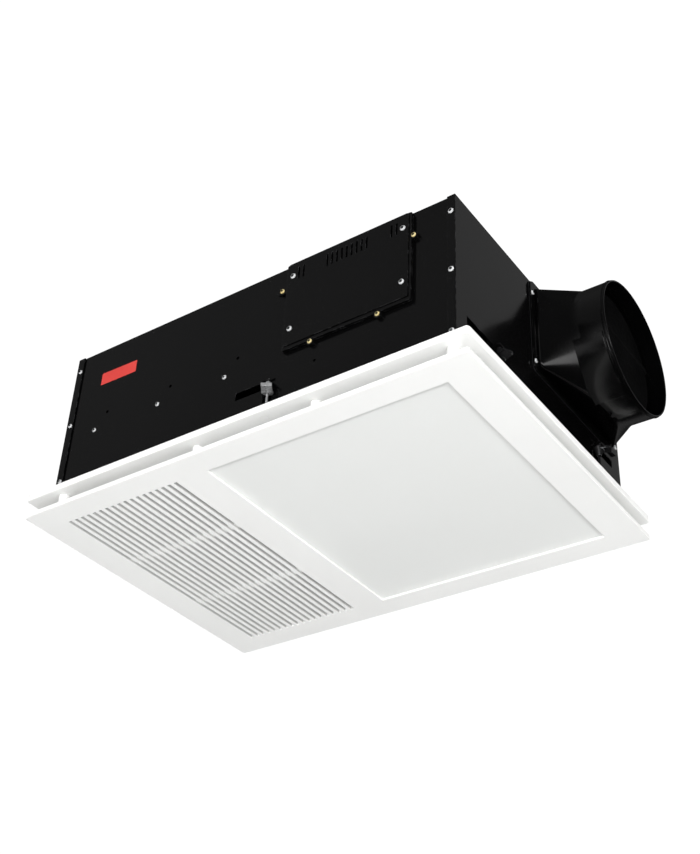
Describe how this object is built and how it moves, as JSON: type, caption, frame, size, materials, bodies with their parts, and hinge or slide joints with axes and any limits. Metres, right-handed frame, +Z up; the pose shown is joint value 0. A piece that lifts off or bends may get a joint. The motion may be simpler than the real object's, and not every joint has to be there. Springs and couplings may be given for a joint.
{
  "type": "ceiling mounted fan heater",
  "caption": "Recessed ceiling fan heater with extract blower, light panel, slotted warm air grille, wiring box, screw clamps and a round duct collar on its end.",
  "frame": {"origin": "middle of the mounting frame's top face, which lies against the underside of the ceiling", "axes": "+Z up into the ceiling void, +X towards the duct collar along the housing's length, -Y towards the wiring box"},
  "size_m": [0.615, 0.3954, 0.2377],
  "materials": {
    "white_plastic": "fine satin moulded",
    "opal_plastic": "frosted opal",
    "nylon": "natural",
    "black_steel": "satin powder coat",
    "black_plastic": "polished moulded",
    "fan_plastic": "moulded",
    "zinc_steel": "bright zinc",
    "plain_steel": "galvanised sheet",
    "aluminium": "mill",
    "grey_plastic": "moulded",
    "circuit_white": "solder mask",
    "ceramic": "glazed",
    "rubber": "matte",
    "foam": "closed cell foam"
  },
  "bodies": {
    "housing": {"mounting_frame": "white_plastic", "housing_front_wall": "black_steel", "housing_rear_wall": "black_steel", "housing_duct_end_wall": "black_steel", "housing_heater_end_wall": "black_steel", "housing_roof": "black_steel", "exhaust_scroll": "fan_plastic", "exhaust_inlet_plate": "fan_plastic", "exhaust_motor": "plain_steel", "heater_duct": "plain_steel", "heating_element": "aluminium", "heater_fan_shroud": "fan_plastic", "heater_fan_motor": "plain_steel", "heater_motor_bracket": "zinc_steel", "thermal_cutout": "ceramic", "wiring_box": "black_steel", "wiring_box_lid": "black_steel", "terminal_block": "circuit_white", "cable_grommet": "rubber", "duct_gasket": "foam", "duct_adaptor": "black_plastic", "damper_axle": "zinc_steel", "clamp_bracket_front": "black_steel", "clamp_bracket_rear": "black_steel", "clamp_bracket_duct_end_near": "black_steel", "clamp_bracket_duct_end_far": "black_steel", "clamp_bracket_heater_end_near": "black_steel", "clamp_bracket_heater_end_far": "black_steel", "lamp_driver": "grey_plastic", "run_capacitor": "grey_plastic"},
    "cover": {"front_cover": "white_plastic", "cover_snap_pin_1": "nylon", "cover_snap_pin_2": "nylon", "cover_snap_pin_3": "nylon", "cover_snap_pin_4": "nylon", "light_diffuser": "opal_plastic", "light_tray": "aluminium", "lamp_board": "circuit_white"},
    "exhaust_rotor": {"exhaust_wheel": "fan_plastic", "exhaust_shaft": "zinc_steel"},
    "heater_rotor": {"heater_fan_wheel": "fan_plastic", "heater_fan_shaft": "zinc_steel"},
    "damper": {"damper_flap": "black_plastic"},
    "clamp_swing_front": {"clamp_screw_front": "zinc_steel"},
    "clamp_swing_rear": {"clamp_screw_rear": "zinc_steel"},
    "clamp_swing_duct_end_near": {"clamp_screw_duct_end_near": "zinc_steel"},
    "clamp_swing_duct_end_far": {"clamp_screw_duct_end_far": "zinc_steel"},
    "clamp_swing_heater_end_near": {"clamp_screw_heater_end_near": "zinc_steel"},
    "clamp_swing_heater_end_far": {"clamp_screw_heater_end_far": "zinc_steel"},
    "clamp_grip_front": {"clamp_dog_front": "zinc_steel"},
    "clamp_grip_rear": {"clamp_dog_rear": "zinc_steel"},
    "clamp_grip_duct_end_near": {"clamp_dog_duct_end_near": "zinc_steel"},
    "clamp_grip_duct_end_far": {"clamp_dog_duct_end_far": "zinc_steel"},
    "clamp_grip_heater_end_near": {"clamp_dog_heater_end_near": "zinc_steel"},
    "clamp_grip_heater_end_far": {"clamp_dog_heater_end_far": "zinc_steel"}
  },
  "joints": [
    {"name": "cover_pull", "type": "slide", "parent": "housing", "child": "cover", "axis": [0, 0, 1], "range_m": [-0.03, 0]},
    {"name": "exhaust_wheel_spin", "type": "hinge", "parent": "housing", "child": "exhaust_rotor", "pos_m": [0.104, -0.01, 0.115], "axis": [0, 0, 1], "continuous": true},
    {"name": "heater_wheel_spin", "type": "hinge", "parent": "housing", "child": "heater_rotor", "pos_m": [-0.16552, 0, 0.075], "axis": [0, 0, 1], "continuous": true},
    {"name": "damper_swing", "type": "hinge", "parent": "housing", "child": "damper", "pos_m": [0.314, 0.071, 0.1495], "axis": [0, -1, 0], "range_deg": [0, 75]},
    {"name": "clamp_swing_front", "type": "hinge", "parent": "housing", "child": "clamp_swing_front", "pos_m": [0.041, -0.183, 0.02], "axis": [0, 0, 1], "range_deg": [-123, 0]},
    {"name": "clamp_swing_rear", "type": "hinge", "parent": "housing", "child": "clamp_swing_rear", "pos_m": [-0.041, 0.183, 0.02], "axis": [0, 0, 1], "range_deg": [-123, 0]},
    {"name": "clamp_swing_duct_end_near", "type": "hinge", "parent": "housing", "child": "clamp_swing_duct_end_near", "pos_m": [0.2655, -0.109, 0.02], "axis": [0, 0, 1], "range_deg": [-66, 0]},
    {"name": "clamp_swing_duct_end_far", "type": "hinge", "parent": "housing", "child": "clamp_swing_duct_end_far", "pos_m": [0.2655, 0.109, 0.02], "axis": [0, 0, 1], "range_deg": [0, 66]},
    {"name": "clamp_swing_heater_end_near", "type": "hinge", "parent": "housing", "child": "clamp_swing_heater_end_near", "pos_m": [-0.2655, -0.109, 0.02], "axis": [0, 0, 1], "range_deg": [0, 66]},
    {"name": "clamp_swing_heater_end_far", "type": "hinge", "parent": "housing", "child": "clamp_swing_heater_end_far", "pos_m": [-0.2655, 0.109, 0.02], "axis": [0, 0, 1], "range_deg": [-66, 0]},
    {"name": "clamp_slide_front", "type": "slide", "parent": "clamp_swing_front", "child": "clamp_grip_front", "axis": [0, 0, 1], "range_m": [-0.021, 0]},
    {"name": "clamp_slide_rear", "type": "slide", "parent": "clamp_swing_rear", "child": "clamp_grip_rear", "axis": [0, 0, 1], "range_m": [-0.021, 0]},
    {"name": "clamp_slide_duct_end_near", "type": "slide", "parent": "clamp_swing_duct_end_near", "child": "clamp_grip_duct_end_near", "axis": [0, 0, 1], "range_m": [-0.021, 0]},
    {"name": "clamp_slide_duct_end_far", "type": "slide", "parent": "clamp_swing_duct_end_far", "child": "clamp_grip_duct_end_far", "axis": [0, 0, 1], "range_m": [-0.035, 0]},
    {"name": "clamp_slide_heater_end_near", "type": "slide", "parent": "clamp_swing_heater_end_near", "child": "clamp_grip_heater_end_near", "axis": [0, 0, 1], "range_m": [-0.021, 0]},
    {"name": "clamp_slide_heater_end_far", "type": "slide", "parent": "clamp_swing_heater_end_far", "child": "clamp_grip_heater_end_far", "axis": [0, 0, 1], "range_m": [-0.021, 0]}
  ]
}
